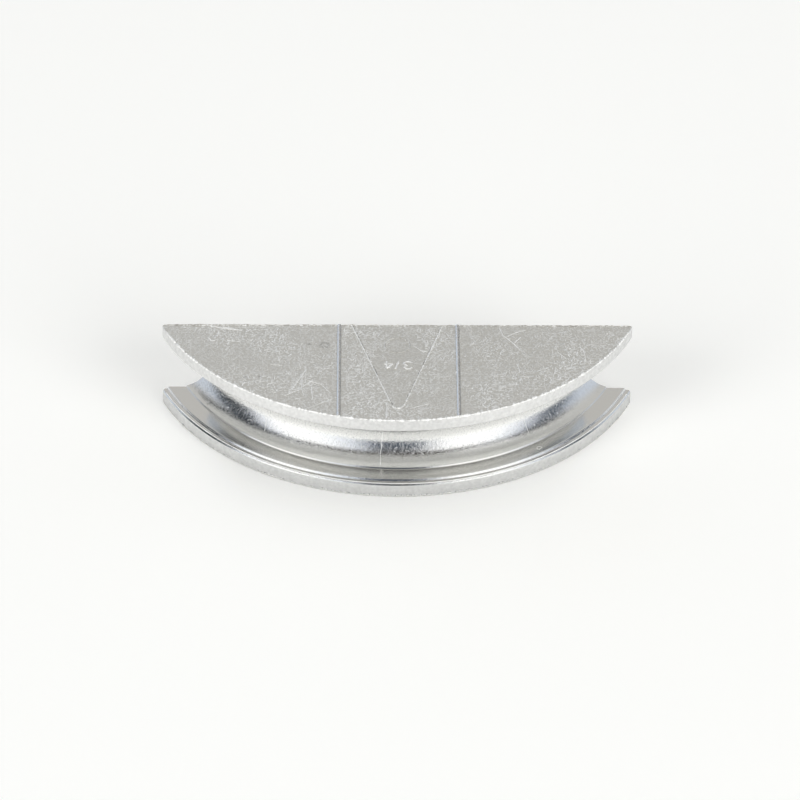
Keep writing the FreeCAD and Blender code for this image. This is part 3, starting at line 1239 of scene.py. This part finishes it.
raised(
    "groove_threads",
    [
        groove_thread(-4.1, -4.5, 0, 44),
        groove_thread(-4.5, -4.3, 46, 66),
        groove_thread(-38.2, -37.2, 24, 50),
        groove_thread(-42.3, -41.4, 20, 30),
        groove_thread(37.0, 36.8, 14, 50),
        [
            (x, y, groove_z - groove_radius)
            for x, y in [(44.4, -7.2), (45.3, -7.8), (46.3, -6.6), (45.2, -6.2), (44.6, -6.6)]
        ],
    ],
    0.14,
    0.07,
    0.0,
    seed=9,
    unevenness=0.4,
    wander=0.15,
    grain=1.0,
)

# ---------------------------------------------------------------------------------------------
# Studio: the shoe lies on a white paper sweep in a grey room that is dark on the camera's side.
# Two tall softboxes light it from the front. The room is the world, which the metal mirrors.
# ---------------------------------------------------------------------------------------------
floor_mesh = bpy.data.meshes.new("floor")
sweep_sides = 96
sweep_rings = [(0.4, 0.0), (2.0, 0.0), (7.0, 0.0), (8.0, 0.05), (8.5, 0.38)]
floor_points = [(0.0, 0.0, 0.0)] + [
    (
        r * math.cos(2 * math.pi * i / sweep_sides),
        r * math.sin(2 * math.pi * i / sweep_sides),
        z,
    )
    for r, z in sweep_rings
    for i in range(sweep_sides)
]
floor_faces = [(0, 1 + i, 1 + (i + 1) % sweep_sides) for i in range(sweep_sides)]
for ring in range(len(sweep_rings) - 1):
    inner, outer = 1 + ring * sweep_sides, 1 + (ring + 1) * sweep_sides
    for i in range(sweep_sides):
        j = (i + 1) % sweep_sides
        floor_faces.append((inner + i, outer + i, outer + j, inner + j))
floor_mesh.from_pydata(floor_points, [], floor_faces)
floor = bpy.data.objects.new("floor", floor_mesh)
bpy.context.scene.collection.objects.link(floor)

paper, tree, shader = blank_material("white_paper_sweep")
shader.inputs["Roughness"].default_value = 0.9
shader.inputs["Specular IOR Level"].default_value = 0.0
rays = add(tree, "ShaderNodeLightPath")
seen = add(
    tree,
    "MAXIMUM",
    [
        add(tree, "MAXIMUM", [rays.outputs["Is Camera Ray"], rays.outputs["Is Glossy Ray"]]),
        rays.outputs["Is Transmission Ray"],
    ],
)
floor_place = add(
    tree,
    "ShaderNodeSeparateXYZ",
    {"Vector": add(tree, "ShaderNodeTexCoord").outputs["Object"]},
)
off_middle = add(tree, "ABSOLUTE", [floor_place.outputs["X"]])
# Painted shadow: the paper's colour, and the lift that camera and glossy rays see, are darkened by
# occlusion near the shoe. Towards the tips the occluded paper is painted lighter instead, up to 12%
# over its plain colour: painted light that takes out the real shadow there.
contact = add(tree, "ShaderNodeAmbientOcclusion", {"Distance": 0.035}, samples=8)
painted_occluded_tone = add(tree, "ShaderNodeMapRange", [off_middle, 0.05, 0.08, 0.84, 1.12])
shade = add(tree, "ShaderNodeMapRange", [contact.outputs["AO"], 0.4, 1.0, painted_occluded_tone, 1.0])
shaded = add(
    tree, "ShaderNodeVectorMath", {0: linear("#F4F4F1")[:3], "Scale": shade}, operation="SCALE"
)
tree.links.new(shaded.outputs[0], shader.inputs["Base Color"])
shader.inputs["Emission Color"].default_value = (1.0, 1.0, 0.98, 1.0)
# The lift rises a little towards the back: a painted light gradient over the plain white.
lift = add(tree, "ShaderNodeMapRange", [floor_place.outputs["Y"], -0.15, 0.15, 0.158, 0.185])
# Painted light: glossy rays see the paper brighter in front of the shoe and off to either side, a
# painted pool of the softboxes' light for the metal to mirror.
pool_aside = add(tree, "ShaderNodeMapRange", [off_middle, 0.02, 0.1, 0.0, 0.4])
pool_ahead = add(tree, "ShaderNodeMapRange", [floor_place.outputs["Y"], -0.02, -0.09, 0.0, 1.0])
painted_light_pool = add(
    tree, "MULTIPLY", [rays.outputs["Is Glossy Ray"], add(tree, "MULTIPLY", [pool_aside, pool_ahead])]
)
lift = add(tree, "ADD", [add(tree, "MULTIPLY", [seen, add(tree, "MULTIPLY", [lift, shade])]), painted_light_pool])
tree.links.new(lift.outputs[0], shader.inputs["Emission Strength"])
floor_mesh.materials.append(paper)

world = bpy.data.worlds.new("studio_room")
bpy.context.scene.world = world
world.use_nodes = True
tree = world.node_tree
tree.nodes.clear()
toward = add(
    tree,
    "ShaderNodeSeparateXYZ",
    {"Vector": add(tree, "ShaderNodeTexCoord").outputs["Generated"]},
)
height = add(tree, "ARCSINE", [toward.outputs["Z"]])
bearing = add(
    tree, "ARCTAN2", [toward.outputs["X"], add(tree, "MULTIPLY", [toward.outputs["Y"], -1.0])]
)
aside = add(tree, "ABSOLUTE", [bearing])


def past(*edges):
    """1 past every edge and 0 before it, softly. Each is an angle and the two degrees, before
    and past, between which it turns from 0 to 1."""
    mask = 1.0
    for angle, start, end in edges:
        edge = add(
            tree,
            "ShaderNodeMapRange",
            [angle, math.radians(start), math.radians(end), 0.0, 1.0],
            interpolation_type="SMOOTHSTEP",
        )
        mask = add(tree, "MULTIPLY", [mask, edge])
    return mask


def layered(colour, *layers):
    """A colour with others laid over it in turn, each by its mask."""
    for mask, over in layers:
        colour = add(tree, "ShaderNodeMix", {0: mask, 6: colour, 7: over}, data_type="RGBA")
    return colour


ceiling = (0.515, 0.50, 0.475, 1)
back_wall = (0.67, 0.66, 0.64, 1)
dark_room_left = (0.055, 0.062, 0.072, 1)
dark_room_low = (0.12, 0.14, 0.17, 1)
dark_room_high = (0.12, 0.11, 0.1, 1)
left_behind = (0.72, 0.82, 1.0, 1)
right_behind = (0.2, 0.2, 0.2, 1)
side_light = (0.70, 0.76, 0.86, 1)
glow = (1.4, 1.4, 1.4, 1)
on_right = add(tree, "GREATER_THAN", [bearing, 0.0])
low_side = layered(side_light, (past((height, 26, 36)), back_wall))
behind = layered(left_behind, (on_right, right_behind), (past((height, 25, 31)), back_wall))
low_back = layered(low_side, (past((aside, 132, 140)), behind))
dark_middle = layered(dark_room_low, (past((height, 15, 60)), dark_room_high))
dark_room = layered(dark_room_left, (past((bearing, -75, -35)), dark_middle))

# The dark side reaches further round at middle heights, most on the left.
left_reach = add(
    tree,
    "MULTIPLY_ADD",
    [past((height, 35, 40), (height, 54, 48)), math.radians(28), math.radians(104)],
)
right_reach = add(
    tree,
    "MULTIPLY_ADD",
    [past((height, 33, 40), (height, 47, 43)), math.radians(9), math.radians(97)],
)
reach = add(tree, "ShaderNodeMix", {0: on_right, 2: left_reach, 3: right_reach})
past_reach = past((add(tree, "SUBTRACT", [aside, reach]), -3, 3))
low_room = layered(dark_room, (past_reach, low_back))

# The ceiling comes lower towards the sides, and a bright strip runs under its front edge.
dark_top = add(
    tree, "ShaderNodeMapRange", [aside, 0.0, math.radians(50), 0.0, math.radians(10.5)]
)
right_drop = add(tree, "MULTIPLY", [past((bearing, 34, 52)), math.radians(3.5)])
lifted = add(tree, "ADD", [add(tree, "ADD", [height, dark_top]), right_drop])
in_front = add(tree, "MAXIMUM", [past((aside, 90, 66)), past((bearing, 0, 30), (bearing, 125, 88))])
glow_mask = add(
    tree,
    "MULTIPLY",
    [
        add(tree, "MULTIPLY", [past((aside, 22, 42)), in_front]),
        past((lifted, 61.5, 65), (height, 66, 57)),
    ],
)

# Two tall softboxes in front, brightest in the middle and bluish at their sides. The metal mirrors
# them from here: levels by bearing in degrees.
panel_levels = [
    (-79, 0.3, 0.31, 0.34),
    (-75, 0.8, 0.85, 0.95),
    (-69, 1.2, 1.25, 1.34),
    (-62, 1.5, 1.5, 1.5),
    (-43, 1.5, 1.5, 1.5),
    (-35, 1.28, 1.31, 1.35),
    (-27, 1.08, 1.13, 1.22),
    (-17, 0.9, 0.95, 1.06),
    (16, 1.12, 1.15, 1.23),
    (22, 1.35, 1.36, 1.38),
    (28, 1.5, 1.5, 1.5),
    (50, 1.5, 1.5, 1.5),
    (57, 1.28, 1.31, 1.37),
    (63, 1.06, 1.1, 1.18),
    (69, 0.84, 0.88, 0.97),
    (75, 0.46, 0.49, 0.56),
    (82, 0.22, 0.23, 0.26),
]
panels = add(
    tree,
    "ShaderNodeValToRGB",
    [add(tree, "ShaderNodeMapRange", [bearing, -math.pi / 2, math.pi / 2, 0, 1])],
)
stops = panels.color_ramp.elements
for i, (degrees, *level) in enumerate(panel_levels):
    stop = stops[i] if i < 2 else stops.new(1.0)
    stop.position = (degrees + 90) / 180
    stop.color = (*level, 1)
on_left = past((bearing, -79.5, -76), (bearing, -15.5, -17.5))
on_right_side = past((bearing, 14.5, 17), (bearing, 83, 76))
panel_mask = add(
    tree,
    "MULTIPLY",
    [add(tree, "ADD", [on_left, on_right_side]), past((height, 45, 41), (height, -1.0, 0.5))],
)
room = layered(
    low_room,
    (past((lifted, 65, 69)), ceiling),
    (glow_mask, glow),
    (panel_mask, panels.outputs["Color"]),
)
background = add(tree, "ShaderNodeBackground", {"Color": room, "Strength": 1.0})
add(tree, "ShaderNodeOutputWorld", {"Surface": background})


def softbox(name, from_bearing, to_bearing, top, brightness):
    """A panel that stands on the sweep and faces the shoe, between two bearings in degrees. It
    lights the matt parts; the metal mirrors the panels of the room."""
    distance = 2.2
    half = math.radians(to_bearing - from_bearing) / 2
    middle = math.radians(from_bearing + to_bearing) / 2
    lamp = bpy.data.lights.new(name, "AREA")
    lamp.shape = "RECTANGLE"
    lamp.size = 2 * distance * math.tan(half)
    lamp.size_y = distance * math.tan(math.radians(top))
    lamp.energy = brightness * math.pi * lamp.size * lamp.size_y
    place = Vector(
        (math.sin(middle) * distance, -math.cos(middle) * distance, lamp.size_y / 2)
    )
    holder = bpy.data.objects.new(name, lamp)
    holder.location = place
    holder.rotation_euler = Vector((-place.x, -place.y, 0)).to_track_quat("-Z", "Y").to_euler()
    holder.visible_camera = False
    holder.visible_glossy = False
    bpy.context.scene.collection.objects.link(holder)


softbox("softbox_left", -63, -38, 41, 4.0)
softbox("softbox_right", 23, 55, 41, 4.0)

# The camera stands where the photograph was taken from.
camera_distance = 3.0
camera_turn = math.radians(0.8)
camera_dip = math.radians(35.6221)
camera_roll = math.radians(0.6373)
looks_at = Vector((0.8052, 0.0, 19.2804)) * MM
forward = Vector(
    (
        math.sin(camera_turn) * math.cos(camera_dip),
        math.cos(camera_turn) * math.cos(camera_dip),
        -math.sin(camera_dip),
    )
)
level = Vector((math.cos(camera_turn), -math.sin(camera_turn), 0))
upright = level.cross(forward)
right = math.cos(camera_roll) * level + math.sin(camera_roll) * upright
up = -math.sin(camera_roll) * level + math.cos(camera_roll) * upright
camera_data = bpy.data.cameras.new("camera")
camera_data.sensor_width = 36.0
camera_data.lens = 423.68
camera_data.clip_start, camera_data.clip_end = 0.1, 100.0
camera = bpy.data.objects.new("camera", camera_data)
turned = Matrix((right, up, -forward)).transposed().to_4x4()
camera.matrix_world = Matrix.Translation(looks_at - camera_distance * forward) @ turned
bpy.context.scene.collection.objects.link(camera)
bpy.context.scene.camera = camera
bpy.context.scene.view_settings.view_transform = "Standard"
